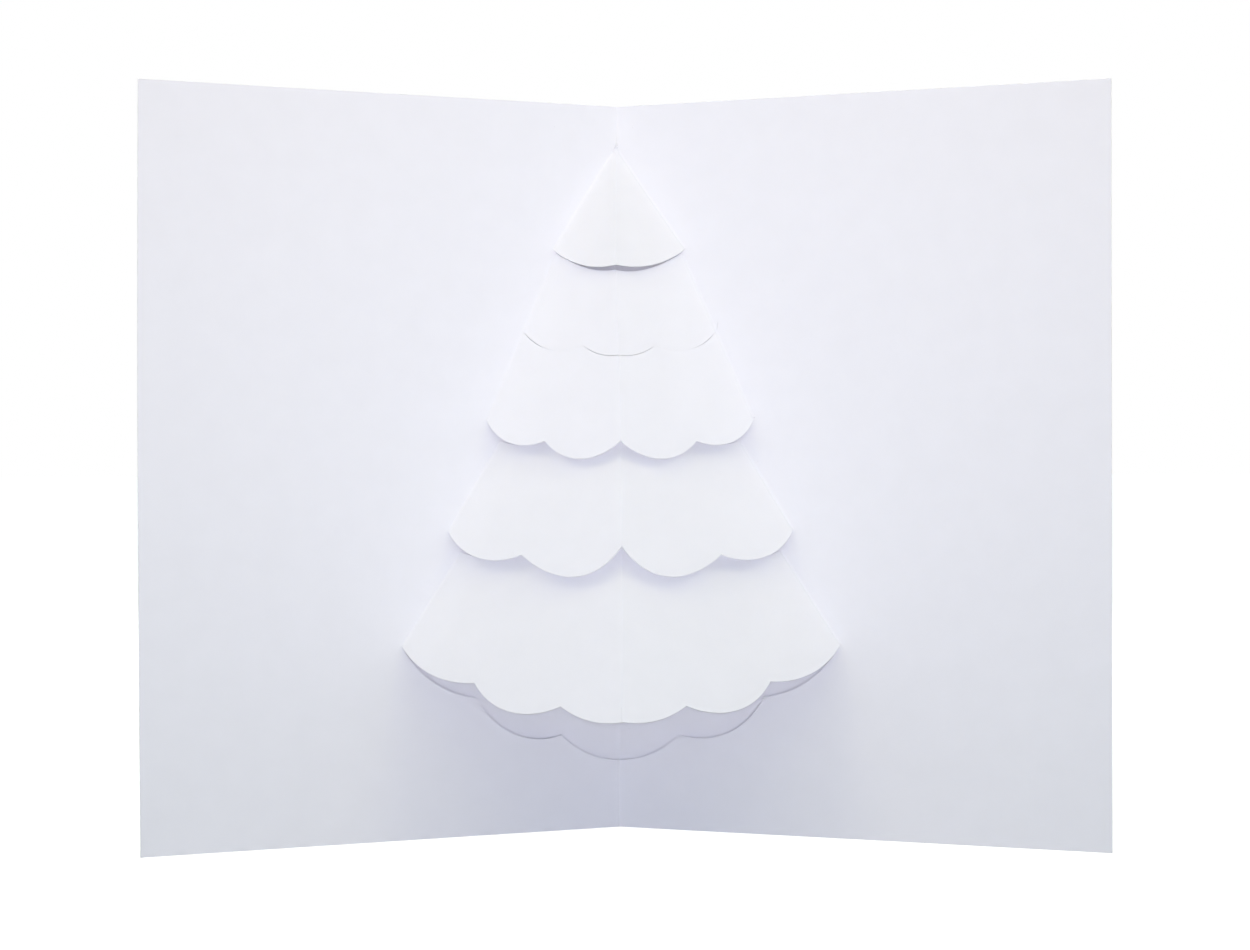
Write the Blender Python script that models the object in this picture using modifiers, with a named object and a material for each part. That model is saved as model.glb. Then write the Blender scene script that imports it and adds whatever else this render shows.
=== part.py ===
"""A blank white pop-up card, standing open, with a fir tree cut and folded out of its inner sheet.

The card is two sheets, each folded once at the spine and glued back to back. Five scalloped cuts
cross the spine of the inner sheet. Between them, slanted creases on either side let five tiers of
a fir tree stand forward of the panels as the card opens. The outer sheet is plain and closes the
opening that the tree leaves behind it.

The card stands on its bottom edges with the spine at the back. +X is to the right, -Y is the side
that the card opens towards, and the origin is under the middle of its bounding box. Each sheet is
drawn flat first, as its right-hand half, in points whose x is the distance across from the spine
and whose y is the height above the bottom edge. It is then folded.
"""

import math
from typing import NamedTuple

import bmesh
import bpy
from mathutils import Vector

MM = 0.001

# The two sheets, whose panels reach from the spine to the outer edges
PANEL_WIDTH = 143.0 * MM
PANEL_HEIGHT = 210.0 * MM
OPENING_ANGLE = math.radians(133.5)
SHEET_THICKNESS = 0.3 * MM
GLUE_GAP = 0.3 * MM

# Widths on the flat sheet over which it bends round: half of the spine's, and all of a crease's
SPINE_BEND = 0.6 * MM
CREASE_BEND = 1.0 * MM
BEND_STEPS = 4

# From the top edge of the card to the tip of the tree
TOP_MARGIN = 11.4 * MM

# The one cut that stays closed: its width, and the length over which it narrows to its tip
SLIT_WIDTH = 0.2 * MM
SLIT_TAPER = 4.0 * MM

# How finely a scallop is drawn, and how far its curve's handles lie from the chord's middle
LOBE_STEPS = 14
HANDLE_SPREAD = 0.2

WELD_DISTANCE = 0.001 * MM

WHITE_CARD = (0.87, 0.88, 0.91, 1.0)
CARD_ROUGHNESS = 0.85


class Lobe(NamedTuple):
    """One scallop of a cut, drawn outwards from where the one before it ended.

    Its outer end lies inward of the cut's tip and below it. The last lobe ends at the tip.
    """

    depth: float
    inward: float = 0.0
    below: float = 0.0
    lean: float = 0.0


class Tier(NamedTuple):
    """A tier of the tree: its creases, and the scalloped cut along its lower edge.

    The creases start on the cut above, inset from that cut's tip, and drop to the tip of their
    own cut. The cut starts on the spine, middle_below under the tip. Where that is None, its
    first lobe lies across the spine in one piece.
    """

    crease_angle: float
    inset: float
    drop: float
    middle_below: float
    lobes: tuple


CROWN = Tier(
    crease_angle=math.radians(34.3),
    inset=0.0,
    drop=30.6 * MM,
    middle_below=None,
    lobes=(Lobe(depth=10.9 * MM),),
)

# The shoulder and the waist lie in one plane and share their creases, parted by the closed cut
SHOULDER = Tier(
    crease_angle=math.radians(24.3),
    inset=0.9 * MM,
    drop=22.7 * MM,
    middle_below=None,
    lobes=(
        Lobe(depth=4.7 * MM, inward=19.2 * MM, below=7.9 * MM),
        Lobe(depth=3.5 * MM),
    ),
)
WAIST = Tier(
    crease_angle=SHOULDER.crease_angle,
    inset=SHOULDER.inset,
    drop=48.1 * MM,
    middle_below=12.9 * MM,
    lobes=(
        Lobe(depth=5.3 * MM, inward=18.3 * MM, below=9.5 * MM),
        Lobe(depth=4.0 * MM),
    ),
)
HIP = Tier(
    crease_angle=math.radians(32.1),
    inset=4.2 * MM,
    drop=25.4 * MM,
    middle_below=15.3 * MM,
    lobes=(
        Lobe(depth=8.1 * MM, inward=23.1 * MM, below=12.3 * MM, lean=-0.085),
        Lobe(depth=4.8 * MM),
    ),
)
SKIRT = Tier(
    crease_angle=math.radians(33.7),
    inset=3.7 * MM,
    drop=26.4 * MM,
    middle_below=None,
    lobes=(
        Lobe(depth=7.9 * MM, inward=48.8 * MM, below=27.5 * MM),
        Lobe(depth=5.2 * MM, inward=22.9 * MM, below=15.7 * MM),
        Lobe(depth=3.4 * MM),
    ),
)


class DrawnTier(NamedTuple):
    """A tier as drawn on the flat sheet.

    Its crease runs from start to tip, and its own cut from the spine out to tip. The cut above
    is parted at start into inner and outer, which both run outwards.
    """

    sizes: Tier
    start: Vector
    tip: Vector
    cut: list
    inner: list
    outer: list


def clear_scene():
    for obj in list(bpy.data.objects):
        bpy.data.objects.remove(obj, do_unlink=True)


def scallop(start, end, lobe):
    """Points of one lobe after its start: a cubic curve that hangs below its chord."""
    chord = end - start
    below = Vector((chord.y, -chord.x)).normalized()
    # A cubic curve reaches three quarters of the way out to its handles
    reach = below * lobe.depth / 0.75
    inner = start + chord * (0.5 - HANDLE_SPREAD + lobe.lean) + reach
    outer = start + chord * (0.5 + HANDLE_SPREAD + lobe.lean) + reach
    points = []
    for step in range(1, LOBE_STEPS + 1):
        t = step / LOBE_STEPS
        s = 1.0 - t
        points.append(s**3 * start + 3 * s**2 * t * inner + 3 * s * t**2 * outer + t**3 * end)
    return points


def draw_cut(tier, tip):
    """The cut under a tier, from the spine outwards to its tip."""
    ends = [tip - Vector((lobe.inward, lobe.below)) for lobe in tier.lobes]
    if tier.middle_below is None:
        across_spine = scallop(Vector((-ends[0].x, ends[0].y)), ends[0], tier.lobes[0])
        points = across_spine[LOBE_STEPS // 2 - 1 :]
        points[0].x = 0.0
    else:
        middle = Vector((0.0, tip.y - tier.middle_below))
        points = [middle] + scallop(middle, ends[0], tier.lobes[0])
    for lobe, start, end in zip(tier.lobes[1:], ends, ends[1:]):
        points += scallop(start, end, lobe)
    return points


def part_cut(cut, inset):
    """Parts a cut inset from its tip into its inner and outer stretches, which share that point."""
    limit = cut[-1].x - inset
    inner = [point for point in cut if point.x < limit]
    before, after = inner[-1], cut[len(inner)]
    start = before.lerp(after, (limit - before.x) / (after.x - before.x))
    return inner + [start], [start] + cut[len(inner) :]


def draw_tier(tier, inner, outer):
    """Draws a tier whose crease starts where the cut above it is parted."""
    start = inner[-1]
    tip = start + Vector((tier.drop * math.tan(tier.crease_angle), -tier.drop))
    return DrawnTier(tier, start, tip, draw_cut(tier, tip), inner, outer)


def draw_tree():
    """Draws the five tiers on the flat sheet, each one hung from the cut above it."""
    tree_tip = Vector((0.0, PANEL_HEIGHT - TOP_MARGIN))
    crown = draw_tier(CROWN, [tree_tip], [tree_tip])
    shoulder = draw_tier(SHOULDER, *part_cut(crown.cut, SHOULDER.inset))
    waist = draw_tier(WAIST, *part_cut(crown.cut, WAIST.inset))
    hip = draw_tier(HIP, *part_cut(waist.cut, HIP.inset))
    skirt = draw_tier(SKIRT, *part_cut(hip.cut, SKIRT.inset))
    return crown, shoulder, waist, hip, skirt


def slit_bank(cut, side):
    """One bank of the closed cut: half its width up or down from it, narrowing to its tip."""
    bank = []
    for point in cut:
        fullness = min((cut[-1] - point).length / SLIT_TAPER, 1.0)
        bank.append(point + Vector((0.0, side * fullness * SLIT_WIDTH / 2)))
    return bank


def on_panel(point):
    """A flat point at its place on the right-hand panel, with the bend at the spine eased."""
    half = OPENING_ANGLE / 2
    reach = point.x
    if reach < SPINE_BEND:
        reach = (point.x**2 + SPINE_BEND**2) / (2 * SPINE_BEND)
    return Vector((point.x * math.sin(half), -reach * math.cos(half), point.y))


def on_tier(point, tier):
    """A flat point at its place on a tier.

    The halves of a tier mirror the two panels in the plane through both of its creases. The
    height over that plane eases in from the crease, so that the sheet bends round there.
    """
    half = OPENING_ANGLE / 2
    angle = tier.sizes.crease_angle
    creases_meet = Vector((0.0, 0.0, tier.start.y + tier.start.x / math.tan(angle)))
    down = Vector((0.0, -math.sin(angle) * math.cos(half), -math.cos(angle)))
    normal = Vector((1.0, 0.0, 0.0)).cross(down)
    bend_height = CREASE_BEND * math.cos(half) / normal.length
    normal.normalize()
    place = on_panel(point)
    height = max((place - creases_meet).dot(normal), 0.0)
    if height < bend_height:
        height = height**2 / (2 * bend_height)
    else:
        height -= bend_height / 2
    return place - 2 * height * normal


def spine_lines():
    """Lines along the spine at which the sheet may bend, as points with directions across them."""
    across = Vector((1.0, 0.0))
    return [(across * SPINE_BEND * step / BEND_STEPS, across) for step in range(1, BEND_STEPS + 1)]


def crease_lines(tier):
    """Lines along a tier's crease at which the sheet may bend, inwards from the crease."""
    angle = tier.sizes.crease_angle
    inwards = Vector((-math.cos(angle), -math.sin(angle)))
    lines = []
    for step in range(1, BEND_STEPS + 1):
        lines.append((tier.start + inwards * CREASE_BEND * step / BEND_STEPS, inwards))
    return lines


def add_region(sheet, outline, lines, fold):
    """Adds a region of a sheet: a flat face, parted along its bend lines, folded to its place."""
    region = bmesh.new()
    region.faces.new([region.verts.new(point.to_3d()) for point in outline])
    for point, across in lines:
        bmesh.ops.bisect_plane(
            region,
            geom=[*region.verts, *region.edges, *region.faces],
            dist=WELD_DISTANCE,
            plane_co=point.to_3d(),
            plane_no=across.to_3d(),
        )
    places = {vert: sheet.verts.new(fold(vert.co.to_2d())) for vert in region.verts}
    for face in region.faces:
        sheet.faces.new([places[vert] for vert in face.verts])
    region.free()


def add_tier(sheet, tier, outline):
    add_region(
        sheet,
        outline,
        spine_lines() + crease_lines(tier),
        lambda point: on_tier(point, tier),
    )


def half_of_inner_sheet():
    """The right-hand half of the inner sheet's front face, open at the spine."""
    crown, shoulder, waist, hip, skirt = draw_tree()
    sheet = bmesh.new()
    add_tier(sheet, shoulder, shoulder.inner + slit_bank(shoulder.cut, 1)[::-1])
    add_tier(sheet, waist, slit_bank(shoulder.cut, -1) + waist.cut[::-1])
    for tier in (crown, hip, skirt):
        add_tier(sheet, tier, tier.inner + tier.cut[::-1])

    panel = [
        Vector((0.0, PANEL_HEIGHT)),
        Vector((PANEL_WIDTH, PANEL_HEIGHT)),
        Vector((PANEL_WIDTH, 0.0)),
        Vector((0.0, 0.0)),
        *skirt.cut,
        *skirt.outer,
        *hip.outer,
        shoulder.tip,
        *shoulder.outer,
        crown.start,
    ]
    add_region(sheet, panel, spine_lines(), on_panel)
    bmesh.ops.remove_doubles(sheet, verts=sheet.verts, dist=WELD_DISTANCE)
    return sheet


def half_of_outer_sheet():
    """The right-hand half of the outer sheet's front face, a glue line behind the inner sheet.

    Its outer edge is flush with the inner sheet's, which takes a slightly wider panel.
    """
    half = OPENING_ANGLE / 2
    behind = SHEET_THICKNESS + GLUE_GAP
    set_back = Vector((0.0, behind / math.sin(half), 0.0))
    width = PANEL_WIDTH + behind / math.tan(half)
    panel = [
        Vector((0.0, PANEL_HEIGHT)),
        Vector((width, PANEL_HEIGHT)),
        Vector((width, 0.0)),
        Vector((0.0, 0.0)),
    ]
    sheet = bmesh.new()
    add_region(sheet, panel, spine_lines(), lambda point: on_panel(point) + set_back)
    return sheet


def face_forwards(sheet):
    """Turns every face towards the side that the card opens to."""
    bmesh.ops.recalc_face_normals(sheet, faces=sheet.faces)
    largest = max(sheet.faces, key=lambda face: face.calc_area())
    if largest.normal.y > 0:
        bmesh.ops.reverse_faces(sheet, faces=sheet.faces)


def card_material(name):
    material = bpy.data.materials.new(name)
    material.use_nodes = True
    shader = material.node_tree.nodes["Principled BSDF"]
    shader.inputs["Base Color"].default_value = WHITE_CARD
    shader.inputs["Roughness"].default_value = CARD_ROUGHNESS
    shader.inputs["Metallic"].default_value = 0.0
    return material


def make_sheet(name, half_sheet, collection):
    """Makes a whole sheet of its right-hand half: mirrored at the spine, thickness to the back."""
    face_forwards(half_sheet)
    data = bpy.data.meshes.new(name)
    half_sheet.to_mesh(data)
    half_sheet.free()
    data.materials.append(card_material(name))
    sheet = bpy.data.objects.new(name, data)
    collection.objects.link(sheet)

    mirror = sheet.modifiers.new("Other half", "MIRROR")
    mirror.use_axis = (True, False, False)
    mirror.use_clip = True
    mirror.merge_threshold = WELD_DISTANCE

    solidify = sheet.modifiers.new("Sheet thickness", "SOLIDIFY")
    solidify.solidify_mode = "NON_MANIFOLD"
    solidify.nonmanifold_thickness_mode = "CONSTRAINTS"
    solidify.thickness = SHEET_THICKNESS
    solidify.offset = -1.0
    return sheet


def depth_to_centre():
    """How far back the card moves, to bring the middle of its depth to the origin."""
    half = OPENING_ANGLE / 2
    skirt = draw_tree()[-1]
    front = min(on_tier(skirt.cut[0], skirt).y, -PANEL_WIDTH * math.cos(half))
    outer_front = on_panel(Vector((0.0, 0.0))).y + (SHEET_THICKNESS + GLUE_GAP) / math.sin(half)
    back = outer_front + SHEET_THICKNESS
    return -(front + back) / 2


def build_card():
    clear_scene()
    collection = bpy.data.collections.new("pop_up_card")
    bpy.context.scene.collection.children.link(collection)
    inner = make_sheet("inner_sheet", half_of_inner_sheet(), collection)
    outer = make_sheet("cover_sheet", half_of_outer_sheet(), collection)
    for sheet in (inner, outer):
        sheet.location.y = depth_to_centre()


build_card()
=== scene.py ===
"""The look of the white pop-up card: its two sheets as fine meshes, their paper, floor and light.

Each sheet is drawn flat, in points whose x is the distance across from the spine and whose y is
the height above the bottom edge, and is then parted finely and folded. The left-hand half is the
right-hand half's pattern seen in a mirror. All lengths are in metres.
"""

import math
from typing import NamedTuple

import bmesh
import bpy
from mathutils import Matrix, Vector


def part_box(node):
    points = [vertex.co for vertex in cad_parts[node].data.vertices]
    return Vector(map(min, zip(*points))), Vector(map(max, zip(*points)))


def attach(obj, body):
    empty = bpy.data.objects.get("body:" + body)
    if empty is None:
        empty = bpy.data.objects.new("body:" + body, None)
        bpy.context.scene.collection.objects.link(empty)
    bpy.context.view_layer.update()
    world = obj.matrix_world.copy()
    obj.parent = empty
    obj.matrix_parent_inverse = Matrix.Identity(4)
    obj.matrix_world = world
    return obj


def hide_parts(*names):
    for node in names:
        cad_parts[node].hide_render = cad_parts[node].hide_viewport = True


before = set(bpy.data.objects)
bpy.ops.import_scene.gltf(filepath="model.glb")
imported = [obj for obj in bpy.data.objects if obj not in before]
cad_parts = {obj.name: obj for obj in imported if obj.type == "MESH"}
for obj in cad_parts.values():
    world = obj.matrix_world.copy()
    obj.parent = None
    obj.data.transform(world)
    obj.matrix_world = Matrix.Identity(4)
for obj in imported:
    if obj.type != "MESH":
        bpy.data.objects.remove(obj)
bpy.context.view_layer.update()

MM = 0.001

# The sheets as the frame has them
PANEL_WIDTH = 143.0 * MM
PANEL_HEIGHT = 210.0 * MM
OPENING_ANGLE = math.radians(133.5)
SHEET_THICKNESS = 0.3 * MM
GLUE_GAP = 0.3 * MM
TOP_MARGIN = 11.4 * MM

# Half of the width over which the folded sheet bends round at the spine
SPINE_BEND = 0.16 * MM

# The cover's front face comes forward through the glue, to this distance from the inner sheet,
# and its outer edge stops short of being flush
GLUE_LEFT = 0.02 * MM
COVER_SHORT = 0.4 * MM

# The cover gapes below the opening: this far at the spine, next to it, and from so far out on
# either side. It closes again within a reach around the cut, and at the bottom edge.
GAPE_AT_SPINE = 1.9 * MM
GAPE_SPINE_WIDTH = 5.0 * MM
GAPE_BETWEEN = 2.7 * MM
GAPE_OUTSIDE = 3.3 * MM
GAPE_STARTS = {1: 34.0 * MM, -1: 14.0 * MM}
GAPE_EASING = 1.5 * MM
GAPE_REACH = 21.0 * MM
BOTTOM_REACH = 12.0 * MM

# The spine was folded a little to the left of the middle, and strays left behind the crown
OFF_CENTRE = 1.2 * MM
STRAY_ALL = 0.1 * MM
STRAY_CROWN = 1.1 * MM
STRAY_HEIGHT = 170.0 * MM
STRAY_SPREAD = 38.0 * MM
STRAY_WIDTH = 14.0 * MM

# The tree's tip is blunt: the sheet is pushed out there
TIP_RISE = 0.6 * MM
TIP_WIDTH = 1.9 * MM

# How far the upper edges of these tiers have worked their way up behind the tiers above, on
# either side, within a reach of the cut and clear of the creases
SHOULDER_RISE = {1: 0.75 * MM, -1: 1.0 * MM}
HIP_RISE = {1: 0.6 * MM, -1: 0.6 * MM}
SKIRT_RISE = {1: 1.3 * MM, -1: 1.3 * MM}
RISE_REACH = 8.0 * MM
RISE_CLEAR = 4.0 * MM

# The score line that stands up along a crease, and where the sheet is parted along it, in halves
# of its width inwards from the crease
BEAD_WIDTH = 0.25 * MM
BEAD_STEPS = (-5, -4, -3, -2, -1, 1, 2)

# The slow waves of card that has been handled: their height, their lengths across and up the
# sheet, and where they start. The left panel's outer edge is bent back besides.
BROAD_WAVE = 0.12 * MM
BROAD_ACROSS = 31 * MM
BROAD_UP = 37 * MM
BROAD_STARTS = (0.7, 1.9)
SLANTING_WAVE = 0.08 * MM
SLANTING_ACROSS = 17 * MM
SLANTING_UP = 23 * MM
SLANTING_START = 0.4
EDGE_BENT_BACK = 1.6 * MM

# The closed cut: its width on the middle lobe and before its tip, on either side, and its least
# width, how far the middle lobe's stretch goes, how soon it closes there, and the lengths over
# which it widens before its tip and runs to a point
SLIT_MIDDLE = {1: 0.14 * MM, -1: 0.18 * MM}
SLIT_END = {1: 0.2 * MM, -1: 0.24 * MM}
SLIT_LEAST = 0.025 * MM
SLIT_OPEN_TO = 10.6 * MM
SLIT_CLOSING = 0.3 * MM
SLIT_TAPER = 4.5 * MM
SLIT_POINT = 0.5 * SLIT_TAPER

# The knife ran on past the closed cut's right-hand tip: how far and which way, and how wide the
# cut's mouth is there
OVERCUT_RUN = Vector((0.41, 1.93)) * MM
OVERCUT_WIDTH = 0.4 * MM

# A lobe's two handles lie this share of its chord either side of the middle, and its curve hangs
# below the chord by this share of theirs
HANDLE_SPREAD = 0.2
HANG_SHARE = 0.75

# How finely the curves, the sheets and the bends are drawn
LOBE_STEPS = 28
GRID = 3.0 * MM
CREASE_ZONE = 2.5 * GRID
BEND_STEPS = 8
NORMAL_STEP = 0.02 * MM
PART_DISTANCE = 0.001 * MM
WELD_DISTANCE = 0.01 * MM

# How many times its thickness a sheet may measure through at a sharp bend, and the least angle of
# an edge that shows
MOST_THROUGH = 1.4
SHARP_ANGLE = math.radians(35)


class Lobe(NamedTuple):
    """One scallop of a cut, drawn outwards from where the one before it ended.

    Its outer end lies inward of the cut's tip and below it. The last lobe ends at the tip.
    """

    depth: float
    inward: float = 0.0
    below: float = 0.0
    lean: float = 0.0


class Tier(NamedTuple):
    """A tier of the tree: its creases, and the scalloped cut along its lower edge.

    The creases start on the cut above, inset from that cut's tip, and drop to the tip of their
    own cut. The cut starts on the spine, middle_below under the tip. Where that is None, its
    first lobe lies across the spine in one piece. The crease bends over the width bend, and the
    score line along it stands up by bead.
    """

    crease_angle: float
    inset: float
    drop: float
    middle_below: float
    lobes: tuple
    bend: float
    bead: float


CROWN = Tier(
    crease_angle=math.radians(34.3),
    inset=0.0,
    drop=30.6 * MM,
    middle_below=None,
    lobes=(Lobe(depth=10.9 * MM),),
    bend=0.5 * MM,
    bead=0.0,
)
SHOULDER = Tier(
    crease_angle=math.radians(24.3),
    inset=0.9 * MM,
    drop=22.7 * MM,
    middle_below=None,
    lobes=(
        Lobe(depth=4.7 * MM, inward=19.2 * MM, below=7.9 * MM),
        Lobe(depth=3.5 * MM),
    ),
    bend=0.6 * MM,
    bead=0.0,
)
WAIST = Tier(
    crease_angle=SHOULDER.crease_angle,
    inset=SHOULDER.inset,
    drop=48.1 * MM,
    middle_below=12.9 * MM,
    lobes=(
        Lobe(depth=5.3 * MM, inward=18.3 * MM, below=9.5 * MM),
        Lobe(depth=4.0 * MM),
    ),
    bend=SHOULDER.bend,
    bead=0.0,
)
HIP = Tier(
    crease_angle=math.radians(32.1),
    inset=4.2 * MM,
    drop=25.4 * MM,
    middle_below=15.3 * MM,
    lobes=(
        Lobe(depth=8.1 * MM, inward=23.1 * MM, below=12.3 * MM, lean=-0.085),
        Lobe(depth=4.8 * MM),
    ),
    bend=0.6 * MM,
    bead=0.06 * MM,
)
SKIRT = Tier(
    crease_angle=math.radians(33.7),
    inset=3.7 * MM,
    drop=26.4 * MM,
    middle_below=None,
    lobes=(
        Lobe(depth=7.9 * MM, inward=48.8 * MM, below=27.5 * MM),
        Lobe(depth=5.2 * MM, inward=22.9 * MM, below=15.7 * MM),
        Lobe(depth=3.4 * MM),
    ),
    bend=0.6 * MM,
    bead=0.06 * MM,
)


class DrawnTier(NamedTuple):
    """A tier as drawn on the flat sheet.

    Its crease runs from start to tip, and its own cut from the spine out to tip. The cut above
    is parted at start into inner and outer, which both run outwards.
    """

    sizes: Tier
    start: Vector
    tip: Vector
    cut: list
    inner: list
    outer: list


def scallop(start, end, lobe):
    """Points of one lobe after its start: a cubic curve that hangs below its chord."""
    chord = end - start
    below = Vector((chord.y, -chord.x)).normalized()
    reach = below * lobe.depth / HANG_SHARE
    inner = start + chord * (0.5 - HANDLE_SPREAD + lobe.lean) + reach
    outer = start + chord * (0.5 + HANDLE_SPREAD + lobe.lean) + reach
    points = []
    for step in range(1, LOBE_STEPS + 1):
        t = step / LOBE_STEPS
        s = 1.0 - t
        points.append(s**3 * start + 3 * s**2 * t * inner + 3 * s * t**2 * outer + t**3 * end)
    return points


def draw_cut(tier, tip):
    """The cut under a tier, from the spine outwards to its tip."""
    ends = [tip - Vector((lobe.inward, lobe.below)) for lobe in tier.lobes]
    if tier.middle_below is None:
        across_spine = scallop(Vector((-ends[0].x, ends[0].y)), ends[0], tier.lobes[0])
        points = across_spine[LOBE_STEPS // 2 - 1 :]
        points[0].x = 0.0
    else:
        middle = Vector((0.0, tip.y - tier.middle_below))
        points = [middle] + scallop(middle, ends[0], tier.lobes[0])
    for lobe, start, end in zip(tier.lobes[1:], ends, ends[1:]):
        points += scallop(start, end, lobe)
    return points


def part_cut(cut, inset):
    """Parts a cut inset from its tip into its inner and outer stretches, which share that point."""
    limit = cut[-1].x - inset
    inner = [point for point in cut if point.x < limit]
    before, after = inner[-1], cut[len(inner)]
    start = before.lerp(after, (limit - before.x) / (after.x - before.x))
    return inner + [start], [start] + cut[len(inner) :]


def draw_tier(tier, inner, outer):
    """Draws a tier whose crease starts where the cut above it is parted."""
    start = inner[-1]
    tip = start + Vector((tier.drop * math.tan(tier.crease_angle), -tier.drop))
    return DrawnTier(tier, start, tip, draw_cut(tier, tip), inner, outer)


def draw_tree():
    """Draws the five tiers on the flat sheet, each one hung from the cut above it."""
    tree_tip = Vector((0.0, PANEL_HEIGHT - TOP_MARGIN))
    crown = draw_tier(CROWN, [tree_tip], [tree_tip])
    shoulder = draw_tier(SHOULDER, *part_cut(crown.cut, SHOULDER.inset))
    waist = draw_tier(WAIST, *part_cut(crown.cut, WAIST.inset))
    hip = draw_tier(HIP, *part_cut(waist.cut, HIP.inset))
    skirt = draw_tier(SKIRT, *part_cut(hip.cut, SKIRT.inset))
    return crown, shoulder, waist, hip, skirt


TREE = draw_tree()


def slit_width(point, tip, side):
    """The closed cut gapes a little on its middle lobe and before its tip, and is shut between."""
    to_tip = (tip - point).length
    middle = SLIT_MIDDLE[side] / (1.0 + math.exp((point.x - SLIT_OPEN_TO) / SLIT_CLOSING))
    end = SLIT_END[side] * hump(to_tip - SLIT_TAPER, SLIT_TAPER)
    return max(middle, end, SLIT_LEAST) * min(to_tip / SLIT_POINT, 1.0)


def slit_bank(cut, side, half):
    """One bank of the closed cut, half its width above or below it."""
    return [point + Vector((0.0, half * slit_width(point, cut[-1], side) / 2)) for point in cut]


def on_panel(point):
    """A flat point at its place on the right-hand panel, with the bend at the spine eased."""
    half = OPENING_ANGLE / 2
    reach = abs(point.x)
    if reach < SPINE_BEND:
        reach = (point.x**2 + SPINE_BEND**2) / (2 * SPINE_BEND)
    return Vector((point.x * math.sin(half), -reach * math.cos(half), point.y))


def on_tier(point, tier):
    """A flat point at its place on a tier, which mirrors the panels in its creases' plane."""
    half = OPENING_ANGLE / 2
    angle = tier.sizes.crease_angle
    creases_meet = Vector((0.0, 0.0, tier.start.y + tier.start.x / math.tan(angle)))
    down = Vector((0.0, -math.sin(angle) * math.cos(half), -math.cos(angle)))
    normal = Vector((1.0, 0.0, 0.0)).cross(down)
    bend_height = tier.sizes.bend * math.cos(half) / normal.length
    normal.normalize()
    place = on_panel(point)
    height = max((place - creases_meet).dot(normal), 0.0)
    if height < bend_height:
        height = height**2 / (2 * bend_height)
    else:
        height -= bend_height / 2
    return place - 2 * height * normal


def facing(point, fold):
    """The direction that the front of the folded sheet faces at a flat point."""
    across = Vector((NORMAL_STEP, 0.0))
    up = Vector((0.0, NORMAL_STEP))
    along_x = fold(point + across) - fold(point - across)
    along_y = fold(point + up) - fold(point - up)
    return along_x.cross(along_y).normalized()


def distance_to_crease(point, tier):
    """How far a flat point lies from a tier's crease."""
    run = tier.tip - tier.start
    share = min(max((point - tier.start).dot(run) / run.length_squared, 0.0), 1.0)
    return (point - tier.start - run * share).length


def hump(distance, width):
    """A smooth hump, 1 at its middle and nearly 0 two widths away."""
    return math.exp(-((distance / width) ** 2))


def lift(point, side):
    """How far the sheet's front stands out of its plain folded form at a flat point."""
    raised = TIP_RISE * hump((point - TREE[0].start).length, TIP_WIDTH)
    for tier in TREE:
        if tier.sizes.bead:
            raised += tier.sizes.bead * hump(distance_to_crease(point, tier), BEAD_WIDTH)
    return raised + warp(point, side)


def on_risen_tier(point, tier, rise):
    """A flat point at its place on a tier whose upper edge has slid up in the tier's own plane."""
    reach = min((point - corner).length for corner in tier.inner)
    clear = 1.0 - hump(distance_to_crease(point, tier), RISE_CLEAR)
    return on_tier(point + Vector((0.0, rise * clear * hump(reach, RISE_REACH))), tier)


def gape(point, side):
    """How far the cover lies back from the inner sheet around the cut below the opening."""
    cut = TREE[-1].cut
    reach = min((point - corner).length for corner in cut)
    outside = 1.0 / (1.0 + math.exp((GAPE_STARTS[side] - point.x) / GAPE_EASING))
    back = GAPE_BETWEEN + (GAPE_OUTSIDE - GAPE_BETWEEN) * outside
    back += (GAPE_AT_SPINE - GAPE_BETWEEN) * hump(point.x, GAPE_SPINE_WIDTH)
    shut = hump(point.y, BOTTOM_REACH)
    return warp(point, side) - back * hump(reach, GAPE_REACH) * (1.0 - shut)


def stray(point):
    """How far to the left a flat point lies because the fold at the spine strays."""
    astray = STRAY_ALL + STRAY_CROWN * hump(point.y - STRAY_HEIGHT, STRAY_SPREAD)
    return astray * hump(point.x, STRAY_WIDTH)


def warp(point, side):
    """The slow waves of card that has been handled, and the left panel's outer edge bent back."""
    x = side * point.x
    y = point.y
    start_x, start_y = BROAD_STARTS
    waves = BROAD_WAVE * math.sin(x / BROAD_ACROSS + start_x) * math.sin(y / BROAD_UP + start_y)
    waves += SLANTING_WAVE * math.sin(x / SLANTING_ACROSS - y / SLANTING_UP + SLANTING_START)
    if side < 0:
        out = point.x / PANEL_WIDTH
        waves -= EDGE_BENT_BACK * out**3 * math.sin(math.pi * y / PANEL_HEIGHT)
    return waves


def part_region(region, geom, point, across):
    """Parts some of a flat region along the line through a point, square to a direction."""
    bmesh.ops.bisect_plane(
        region,
        geom=geom,
        dist=PART_DISTANCE,
        plane_co=point.to_3d(),
        plane_no=across.to_3d(),
    )


def part_grid(region, width, height):
    """Parts a flat region along a square grid, and along the bend at the spine."""
    across = Vector((1.0, 0.0))
    up = Vector((0.0, 1.0))
    cuts = [(across * GRID * step, across) for step in range(1, int(width / GRID) + 1)]
    cuts += [(up * GRID * step, up) for step in range(1, int(height / GRID) + 1)]
    cuts += [(across * SPINE_BEND * step / BEND_STEPS, across) for step in range(1, BEND_STEPS + 1)]
    for point, direction in cuts:
        part_region(region, [*region.verts, *region.edges, *region.faces], point, direction)


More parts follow.
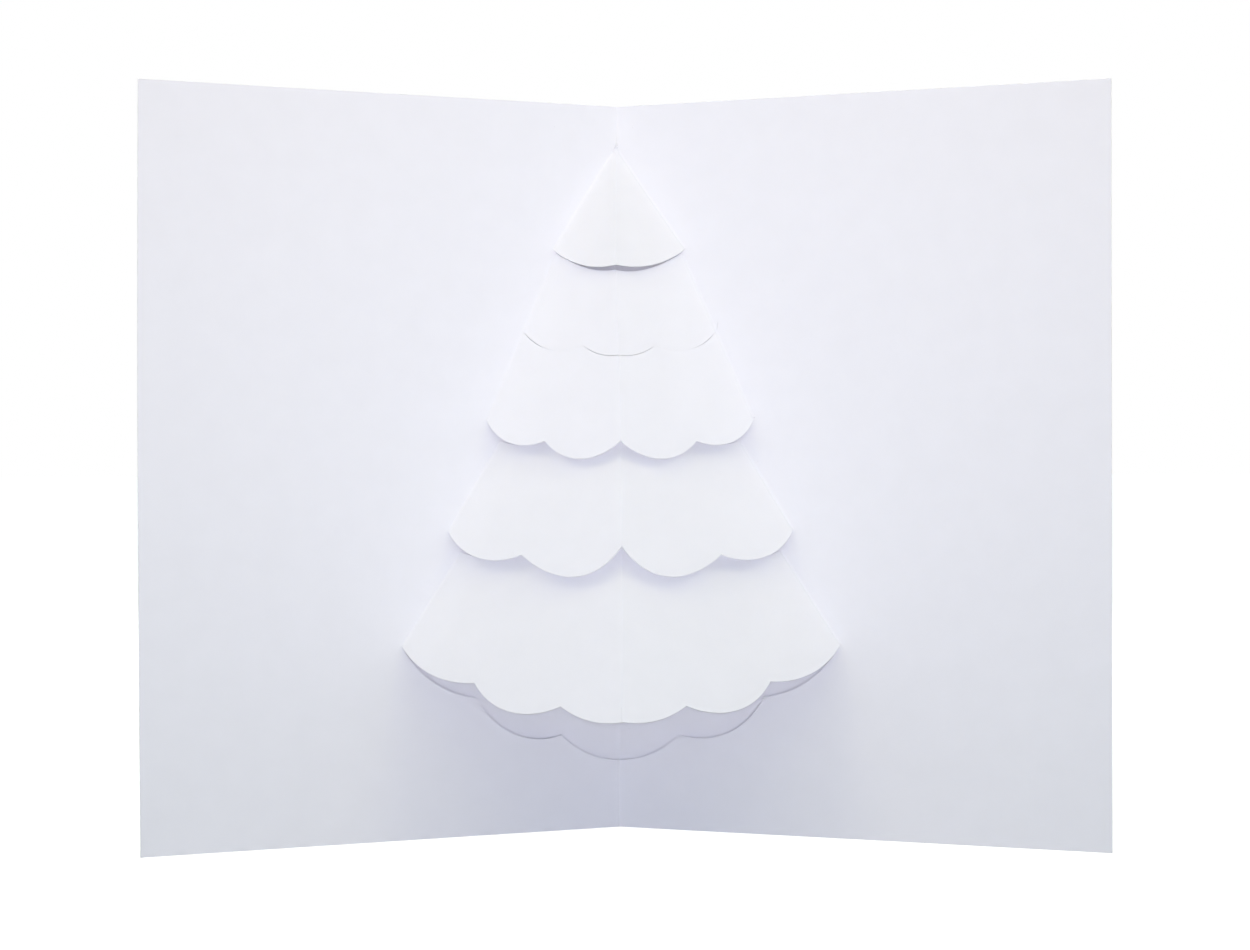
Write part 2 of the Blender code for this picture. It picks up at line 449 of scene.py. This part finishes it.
def part_crease(region, tier):
    """Parts the faces by a tier's crease along it, for its bend and for its score line."""
    angle = tier.sizes.crease_angle
    inwards = Vector((-math.cos(angle), -math.sin(angle)))
    offsets = [tier.sizes.bend * step / BEND_STEPS for step in range(1, BEND_STEPS + 1)]
    if tier.sizes.bead:
        offsets += [BEAD_WIDTH * step / 2 for step in BEAD_STEPS]
    for offset in offsets:
        near = [
            face
            for face in region.faces
            if distance_to_crease(face.calc_center_median().to_2d(), tier) < CREASE_ZONE
        ]
        geom = {part for face in near for part in [face, *face.edges, *face.verts]}
        part_region(region, list(geom), tier.start + inwards * offset, inwards)


def add_region(sheet, side, outline, fold, creases=(), raise_by=lift):
    """Adds a region of a sheet: a flat face, finely parted and folded to its place."""
    region = bmesh.new()
    region.faces.new([region.verts.new(point.to_3d()) for point in outline])
    part_grid(region, max(point.x for point in outline), PANEL_HEIGHT)
    for tier in creases:
        part_crease(region, tier)
    uv = sheet.loops.layers.uv.verify()
    places = {}
    for vert in region.verts:
        point = vert.co.to_2d()
        place = fold(point) + facing(point, fold) * raise_by(point, side)
        place.x = side * place.x - stray(point)
        places[vert] = sheet.verts.new(place)
    for face in region.faces:
        verts = list(face.verts)[:: int(side)]
        folded = sheet.faces.new([places[vert] for vert in verts])
        for loop, vert in zip(folded.loops, verts):
            loop[uv].uv = (side * vert.co.x, vert.co.y)
    region.free()


def panel_width(side):
    """How wide a side's panel is, with the spine off the middle."""
    return PANEL_WIDTH + side * OFF_CENTRE


def draw_inner_half(sheet, side):
    """Half of the inner sheet's front face: its five tiers, and the panel around them.

    On the right the knife ran on from the closed cut's tip into the panel.
    """
    crown, shoulder, waist, hip, skirt = TREE
    upper_bank = slit_bank(shoulder.cut, side, 1)
    overcut = []
    if side > 0:
        angle = SHOULDER.crease_angle
        mouth = shoulder.tip + Vector((-math.sin(angle), math.cos(angle))) * OVERCUT_WIDTH
        upper_bank[-1] = mouth
        overcut = [shoulder.tip + OVERCUT_RUN, mouth]
    outlines = (
        (crown, crown.inner + crown.cut[::-1], 0.0),
        (shoulder, shoulder.inner + upper_bank[::-1], SHOULDER_RISE[side]),
        (waist, slit_bank(shoulder.cut, side, -1) + waist.cut[::-1], 0.0),
        (hip, hip.inner + hip.cut[::-1], HIP_RISE[side]),
        (skirt, skirt.inner + skirt.cut[::-1], SKIRT_RISE[side]),
    )
    for tier, outline, rise in outlines:
        fold = lambda point: on_risen_tier(point, tier, rise)
        add_region(sheet, side, outline[::-1], fold, [tier])

    panel = [
        Vector((0.0, PANEL_HEIGHT)),
        Vector((panel_width(side), PANEL_HEIGHT)),
        Vector((panel_width(side), 0.0)),
        Vector((0.0, 0.0)),
        *skirt.cut,
        *skirt.outer,
        *hip.outer,
        shoulder.tip,
        *overcut,
        *shoulder.outer,
        crown.start,
    ]
    add_region(sheet, side, panel[::-1], on_panel, (hip, skirt))


def draw_cover_half(sheet, side):
    """Half of the cover's front face, just behind the inner sheet and just inside its edge."""
    half = OPENING_ANGLE / 2
    behind = SHEET_THICKNESS + GLUE_LEFT
    set_back = Vector((0.0, behind / math.sin(half), 0.0))
    width = panel_width(side) + behind / math.tan(half) - COVER_SHORT
    panel = [
        Vector((0.0, PANEL_HEIGHT)),
        Vector((width, PANEL_HEIGHT)),
        Vector((width, 0.0)),
        Vector((0.0, 0.0)),
    ]
    add_region(sheet, side, panel[::-1], lambda point: on_panel(point) + set_back, raise_by=gape)


def keep_thin(solid, thickness):
    """Draws in the corners of a sheet's back that its even thickness threw out too far.

    The back's corners follow the front's, in the same order.
    """
    corners = solid.vertices
    half = len(corners) // 2
    for front, back in zip(corners[:half], corners[half:]):
        through = back.co - front.co
        if through.length > MOST_THROUGH * thickness:
            back.co = front.co + through.normalized() * MOST_THROUGH * thickness


def make_sheet(name, draw_half, thickness, materials):
    """Makes a sheet of its two halves, gives it its thickness to the back, and places it."""
    sheet = bmesh.new()
    for side in (1, -1):
        draw_half(sheet, side)
    bmesh.ops.remove_doubles(sheet, verts=sheet.verts, dist=WELD_DISTANCE)
    data = bpy.data.meshes.new(name)
    sheet.to_mesh(data)
    sheet.free()
    for material in materials:
        data.materials.append(material)
    draft = bpy.data.objects.new(name + "_draft", data)
    bpy.context.scene.collection.objects.link(draft)
    solidify = draft.modifiers.new("Sheet thickness", "SOLIDIFY")
    solidify.thickness = thickness
    solidify.offset = -1.0
    solidify.use_even_offset = True
    solidify.material_offset_rim = 1
    depsgraph = bpy.context.evaluated_depsgraph_get()
    solid = bpy.data.meshes.new_from_object(draft.evaluated_get(depsgraph))
    bpy.data.objects.remove(draft)
    keep_thin(solid, thickness)
    solid.name = name
    solid.shade_smooth()
    solid.set_sharp_from_angle(angle=SHARP_ANGLE)
    piece = bpy.data.objects.new(name, solid)
    bpy.context.scene.collection.objects.link(piece)
    return piece


def depth_of_spine():
    """How far back the sheets go, for the back of the cover to lie where the frame has it."""
    half = OPENING_ANGLE / 2
    cover_front = on_panel(Vector((0.0, 0.0))).y + (SHEET_THICKNESS + GLUE_GAP) / math.sin(half)
    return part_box("cover_sheet")[1].y - (cover_front + SHEET_THICKNESS)


class Speck(NamedTuple):
    """A fleck on a sheet's face, of dust or of painted shade: its flat place, how wide it is and
    how much of it covers.
    """

    x: float
    y: float
    width: float
    cover: float


# The specks of dust and fibre in each sheet's face. The inner sheet's last one is painted shade
# where the knife ran on past the waist's right-hand tip. The row after it, at these shares of the
# overcut's run, is painted shade along the knife's cut past the shoulder's.
INNER_SPECKS_AND_CUT_SHADE = (
    Speck(4.93 * MM, 203.7 * MM, 0.42 * MM, 0.2),
    Speck(-20.2 * MM, 203.2 * MM, 0.45 * MM, 0.22),
    Speck(-15.8 * MM, 201.9 * MM, 0.35 * MM, 0.08),
    Speck(2.2 * MM, 141.3 * MM, 0.4 * MM, 0.09),
    Speck(50.4 * MM, 158.0 * MM, 0.42 * MM, 0.25),
    Speck(42.65 * MM, 106.65 * MM, 0.6 * MM, 0.13),
    Speck(41.65 * MM, 119.1 * MM, 0.55 * MM, 0.45),
)
SHOULDER_TIP = TREE[1].tip
OVERCUT_SHARES = (0.1, 0.4, 0.7, 1.0)
# Painted shade along the knife's overcut past the shoulder's tip
OVERCUT_PAINTED_SHADE = tuple(
    Speck(*(SHOULDER_TIP + OVERCUT_RUN * share), width=0.6 * MM, cover=0.45)
    for share in OVERCUT_SHARES
)
COVER_SPECKS = (Speck(2.2 * MM, 28.5 * MM, 0.42 * MM, 0.2),)
# The colour of the specks, and of the painted shade in the knife cuts and beside the fold
SPECK_AND_PAINTED_SHADE_COLOR = (0.3, 0.29, 0.33)

# The painted highlight along the inner sheet's fold, above and below the tree, broken into beads by
# noise, and a painted shade line left of it, which only the low stretch has
FOLD_LINE_WIDTH = 0.5 * MM
FOLD_PAINTED_HIGHLIGHT = (0.95, 0.955, 0.99)
FOLD_HIGHLIGHT_COVER = 0.16
FOLD_LINE_BEADS = 900.0
LOW_STRETCH = 24.0 * MM
FOLD_SHADE_OFFSET = 0.6 * MM
FOLD_SHADE_COVER = 0.07


def calculate(nodes, links, operation, first, second):
    """A Math node of two values, each either a number or another node's output."""
    node = nodes.new("ShaderNodeMath")
    node.operation = operation
    for socket, value in zip(node.inputs, (first, second)):
        if isinstance(value, float):
            socket.default_value = value
        else:
            links.new(value, socket)
    return node.outputs[0]


def fade(nodes, links, distance, width):
    """1 where a distance is 0, falling smoothly to 0 at half the width."""
    node = nodes.new("ShaderNodeMapRange")
    node.interpolation_type = "SMOOTHSTEP"
    node.inputs["From Min"].default_value = 0.0
    node.inputs["From Max"].default_value = width / 2
    node.inputs["To Min"].default_value = 1.0
    node.inputs["To Max"].default_value = 0.0
    links.new(distance, node.inputs["Value"])
    return node.outputs["Result"]


# The Mix node's sockets for numbers, vectors and colours share their names, so those for colours
# are taken by their places
MIX_FACTOR = 0
MIX_UNDER = 6
MIX_OVER = 7
MIX_RESULT = 2


def cover_with(nodes, links, under, over, share):
    """A colour laid over another by a share."""
    node = nodes.new("ShaderNodeMix")
    node.data_type = "RGBA"
    links.new(share, node.inputs[MIX_FACTOR])
    links.new(under, node.inputs[MIX_UNDER])
    node.inputs[MIX_OVER].default_value = [*over, 1.0]
    return node.outputs[MIX_RESULT]


def add_specks_and_cut_shade(nodes, links, flat, color, specks):
    """Lays the specks of a sheet's face, and the painted shade in its knife cuts, over its colour.
    """
    share = None
    for speck in specks:
        away = nodes.new("ShaderNodeVectorMath")
        away.operation = "DISTANCE"
        away.inputs[1].default_value = (speck.x, speck.y, 0.0)
        links.new(flat, away.inputs[0])
        spot = fade(nodes, links, away.outputs["Value"], speck.width)
        spot = calculate(nodes, links, "MULTIPLY", spot, speck.cover)
        share = spot if share is None else calculate(nodes, links, "MAXIMUM", share, spot)
    return cover_with(nodes, links, color, SPECK_AND_PAINTED_SHADE_COLOR, share)


def add_painted_fold_light(nodes, links, flat, color):
    """Lays a painted highlight along the fold over a sheet's colour, with a painted shade line
    beside it.
    """
    tree_top = PANEL_HEIGHT - TOP_MARGIN
    parts = nodes.new("ShaderNodeSeparateXYZ")
    links.new(flat, parts.inputs[0])
    across = parts.outputs["X"]
    beads = nodes.new("ShaderNodeTexNoise")
    beads.inputs["Scale"].default_value = FOLD_LINE_BEADS
    links.new(flat, beads.inputs["Vector"])
    # The painted highlight along the fold, off the tree
    line = fade(nodes, links, calculate(nodes, links, "ABSOLUTE", across, 0.0), FOLD_LINE_WIDTH)
    line = calculate(nodes, links, "MULTIPLY", line, beads.outputs["Fac"])
    line = calculate(nodes, links, "MULTIPLY", line, 2 * FOLD_HIGHLIGHT_COVER)
    low = calculate(nodes, links, "LESS_THAN", parts.outputs["Y"], LOW_STRETCH)
    high = calculate(nodes, links, "GREATER_THAN", parts.outputs["Y"], tree_top)
    off_the_tree = calculate(nodes, links, "MAXIMUM", low, high)
    line = calculate(nodes, links, "MULTIPLY", line, off_the_tree)
    color = cover_with(nodes, links, color, FOLD_PAINTED_HIGHLIGHT, line)
    # The painted shade line left of the fold, on the low stretch
    beside = calculate(nodes, links, "ADD", across, FOLD_SHADE_OFFSET)
    shade_line = fade(nodes, links, calculate(nodes, links, "ABSOLUTE", beside, 0.0), FOLD_LINE_WIDTH)
    shade_line = calculate(nodes, links, "MULTIPLY", shade_line, low)
    shade_line = calculate(nodes, links, "MULTIPLY", shade_line, FOLD_SHADE_COVER)
    return cover_with(nodes, links, color, SPECK_AND_PAINTED_SHADE_COLOR, shade_line)


# The card's finish: the white of its faces, and the lighter white of its cut edges, which is
# painted light against the shade that the edges get; its faint mottle, between its colour and a
# shade of it, and its fine fibres. The scales count the noise's cells in a metre.
CARD_WHITE = (0.885, 0.885, 0.935)
CUT_EDGE_PAINTED_LIGHTER = (0.93, 0.935, 0.96)
PAPER_ROUGHNESS = 0.9
PAPER_SPECULAR = 0.25
MOTTLE_SCALE = 120.0
MOTTLE_DETAIL = 5.0
MOTTLE_RANGE = (0.3, 0.7)
MOTTLE_SHADE = 0.985
FIBRE_SCALE = 2200.0
FIBRE_DETAIL = 3.0
FIBRE_ROUGHNESS = 0.6
FIBRE_STRENGTH = 0.35
FIBRE_HEIGHT = 0.01 * MM


def paper(name, color, specks=(), painted_fold_light=False):
    """Matt uncoated card: fine fibres, a faint mottle in its tone, and on a face its specks and
    painted shade and light.
    """
    material = bpy.data.materials.new(name)
    material.use_nodes = True
    nodes = material.node_tree.nodes
    links = material.node_tree.links
    shader = nodes["Principled BSDF"]
    shader.inputs["Roughness"].default_value = PAPER_ROUGHNESS
    shader.inputs["Specular IOR Level"].default_value = PAPER_SPECULAR

    flat = nodes.new("ShaderNodeTexCoord")
    mottle = nodes.new("ShaderNodeTexNoise")
    mottle.inputs["Scale"].default_value = MOTTLE_SCALE
    mottle.inputs["Detail"].default_value = MOTTLE_DETAIL
    links.new(flat.outputs["UV"], mottle.inputs["Vector"])
    tone = nodes.new("ShaderNodeValToRGB")
    shaded, plain = tone.color_ramp.elements
    shaded.position, plain.position = MOTTLE_RANGE
    shaded.color = [*(channel * MOTTLE_SHADE for channel in color), 1.0]
    plain.color = [*color, 1.0]
    links.new(mottle.outputs["Fac"], tone.inputs["Fac"])
    shown = tone.outputs["Color"]
    # The fold's painted highlight and the painted shade beside it
    if painted_fold_light:
        shown = add_painted_fold_light(nodes, links, flat.outputs["UV"], shown)
    if specks:
        shown = add_specks_and_cut_shade(nodes, links, flat.outputs["UV"], shown, specks)
    links.new(shown, shader.inputs["Base Color"])

    fibres = nodes.new("ShaderNodeTexNoise")
    fibres.inputs["Scale"].default_value = FIBRE_SCALE
    fibres.inputs["Detail"].default_value = FIBRE_DETAIL
    fibres.inputs["Roughness"].default_value = FIBRE_ROUGHNESS
    links.new(flat.outputs["UV"], fibres.inputs["Vector"])
    bump = nodes.new("ShaderNodeBump")
    bump.inputs["Strength"].default_value = FIBRE_STRENGTH
    bump.inputs["Distance"].default_value = FIBRE_HEIGHT
    links.new(fibres.outputs["Fac"], bump.inputs["Height"])
    links.new(bump.outputs["Normal"], shader.inputs["Normal"])
    return material


def make_card():
    """Makes the two sheets, which stand for the frame's."""
    inner_face = paper("inner_card_face", CARD_WHITE, INNER_SPECKS_AND_CUT_SHADE + OVERCUT_PAINTED_SHADE, painted_fold_light=True)
    cover_face = paper("cover_card_face", CARD_WHITE, COVER_SPECKS)
    # The cut edges are painted lighter than the faces: painted light against their shade
    edge = paper("cut_edge_painted_lighter", CUT_EDGE_PAINTED_LIGHTER)
    depth = depth_of_spine()
    inner = make_sheet("inner_card", draw_inner_half, SHEET_THICKNESS, (inner_face, edge))
    cover_thickness = SHEET_THICKNESS + GLUE_GAP - GLUE_LEFT
    cover = make_sheet("cover_card", draw_cover_half, cover_thickness, (cover_face, edge))
    pieces = (
        (inner, "inner_sheet", "inner_card"),
        (cover, "cover_sheet", "cover_card"),
    )
    for piece, node, slot in pieces:
        piece.location.y = depth
        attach(piece, "root")
        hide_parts(node)


# The floor: its side in metres, what it throws back at the card, and the two parts of what the
# camera sees of it, its lit colour and its own glow
FLOOR_SIDE = 40.0
FLOOR_THROWN = 0.4
FLOOR_SHOWN = 0.6
FLOOR_GLOW = 0.88

# The light that comes from all round
FILL_COLOR = (0.724, 0.948, 1.0)
FILL_STRENGTH = 0.29


def make_floor():
    """A white floor that keeps the card's shadow, yet throws less light at it than it shows."""
    bpy.ops.mesh.primitive_plane_add(size=FLOOR_SIDE)
    floor = bpy.context.object
    floor.name = "floor"
    material = bpy.data.materials.new("floor")
    material.use_nodes = True
    nodes = material.node_tree.nodes
    links = material.node_tree.links
    nodes.remove(nodes["Principled BSDF"])
    output = nodes["Material Output"]
    seen = seen_directly(nodes, links)
    dull = nodes.new("ShaderNodeBsdfDiffuse")
    dull.inputs["Color"].default_value = [FLOOR_THROWN] * 3 + [1.0]
    white = nodes.new("ShaderNodeBsdfDiffuse")
    white.inputs["Color"].default_value = [FLOOR_SHOWN] * 3 + [1.0]
    glow = nodes.new("ShaderNodeEmission")
    glow.inputs["Strength"].default_value = FLOOR_GLOW
    shown = nodes.new("ShaderNodeAddShader")
    links.new(white.outputs[0], shown.inputs[0])
    links.new(glow.outputs[0], shown.inputs[1])
    mix = nodes.new("ShaderNodeMixShader")
    links.new(seen, mix.inputs["Fac"])
    links.new(dull.outputs[0], mix.inputs[1])
    links.new(shown.outputs[0], mix.inputs[2])
    links.new(mix.outputs[0], output.inputs["Surface"])
    floor.data.materials.append(material)


def seen_directly(nodes, links):
    """1 for rays from the camera and those that mirror or pass through, 0 for light on the card."""
    rays = nodes.new("ShaderNodeLightPath").outputs
    seen = calculate(nodes, links, "MAXIMUM", rays["Is Camera Ray"], rays["Is Glossy Ray"])
    return calculate(nodes, links, "MAXIMUM", seen, rays["Is Transmission Ray"])


def light_world():
    """A faint fill from all round, and plain white where the camera sees past the floor."""
    world = bpy.data.worlds.new("studio")
    bpy.context.scene.world = world
    world.use_nodes = True
    nodes = world.node_tree.nodes
    links = world.node_tree.links
    fill = nodes["Background"]
    fill.inputs["Color"].default_value = [*FILL_COLOR, 1.0]
    fill.inputs["Strength"].default_value = FILL_STRENGTH
    white = nodes.new("ShaderNodeBackground")
    white.inputs["Color"].default_value = (1.0, 1.0, 1.0, 1.0)
    white.inputs["Strength"].default_value = 1.0
    mix = nodes.new("ShaderNodeMixShader")
    links.new(seen_directly(nodes, links), mix.inputs["Fac"])
    links.new(fill.outputs[0], mix.inputs[1])
    links.new(white.outputs[0], mix.inputs[2])
    links.new(mix.outputs[0], nodes["World Output"].inputs["Surface"])


class Lamp(NamedTuple):
    """A square lamp: its place, what it points at, its size, its power in watts and its colour.

    Its beam, in degrees, is how widely it throws.
    """

    place: tuple
    target: tuple
    size: float
    power: float
    color: tuple
    beam: float = 180.0


# The two lamps just behind the camera reach into each gap that it sees. The one at the floor
# leaves the gap below the opening dark.
BY_CAMERA = (-0.0119, -0.78, 0.1065)
CARD_MIDDLE = (0.0, 0.0, 0.12)
LAMPS = {
    "front": Lamp(
        place=BY_CAMERA,
        target=(0.0, 0.0, 0.22),
        size=0.04,
        power=0.406,
        color=(0.672, 0.754, 1.0),
        beam=80.0,
    ),
    "front_upwards": Lamp(
        place=BY_CAMERA,
        target=(0.0, 0.0, 0.45),
        size=0.04,
        power=0.34,
        color=(1.0, 0.754, 0.581),
        beam=80.0,
    ),
    "floor": Lamp(
        place=(0.0, -0.9, 0.03),
        target=(0.0, 0.0, 0.1),
        size=0.05,
        power=0.24,
        color=(0.94, 0.94, 1.0),
        beam=70.0,
    ),
    "above_front": Lamp(
        place=(0.0, -0.6, 0.95),
        target=CARD_MIDDLE,
        size=0.8,
        power=1.746,
        color=(1.0, 0.865, 0.56),
    ),
    "right": Lamp(
        place=(0.8, -0.5, 0.8),
        target=CARD_MIDDLE,
        size=0.3,
        power=1.36,
        color=(1.0, 0.924, 0.631),
    ),
    "left": Lamp(
        place=(-0.8, -0.5, 0.8),
        target=CARD_MIDDLE,
        size=0.3,
        power=1.448,
        color=(1.0, 0.891, 0.656),
    ),
    "rear": Lamp(
        place=(0.0, 1.0, 0.5),
        target=CARD_MIDDLE,
        size=0.5,
        power=3.2,
        color=(1.0, 0.98, 0.95),
    ),
}


def add_lamp(name, lamp):
    """Adds a lamp to the scene, turned towards its target."""
    data = bpy.data.lights.new(name, "AREA")
    data.shape = "SQUARE"
    data.size = lamp.size
    data.energy = lamp.power
    data.color = lamp.color
    data.spread = math.radians(lamp.beam)
    placed = bpy.data.objects.new(name, data)
    placed.location = lamp.place
    towards = Vector(lamp.target) - Vector(lamp.place)
    placed.rotation_euler = towards.to_track_quat("-Z", "Y").to_euler()
    bpy.context.scene.collection.objects.link(placed)


# The photograph's camera, as solved from it: its lens and sensor in millimetres, its place from
# the foot of the spine, and its turns in degrees
CAMERA_LENS = 75.317
SENSOR_WIDTH = 36.0
CAMERA_PLACE = Vector((-11.87, -762.95, 106.31)) * MM
CAMERA_TURNS = (89.727, 0.145, -1.014)


def set_camera(spine_depth):
    """Sets the camera where the photograph was taken from."""
    data = bpy.data.cameras.new("camera")
    data.sensor_width = SENSOR_WIDTH
    data.lens = CAMERA_LENS
    camera = bpy.data.objects.new("camera", data)
    camera.location = CAMERA_PLACE
    camera.location.y += spine_depth
    camera.rotation_euler = [math.radians(angle) for angle in CAMERA_TURNS]
    bpy.context.scene.collection.objects.link(camera)
    bpy.context.scene.camera = camera


make_card()
make_floor()
light_world()
for lamp_name, lamp in LAMPS.items():
    add_lamp(lamp_name, lamp)
set_camera(depth_of_spine())
bpy.context.scene.view_settings.view_transform = "Standard"
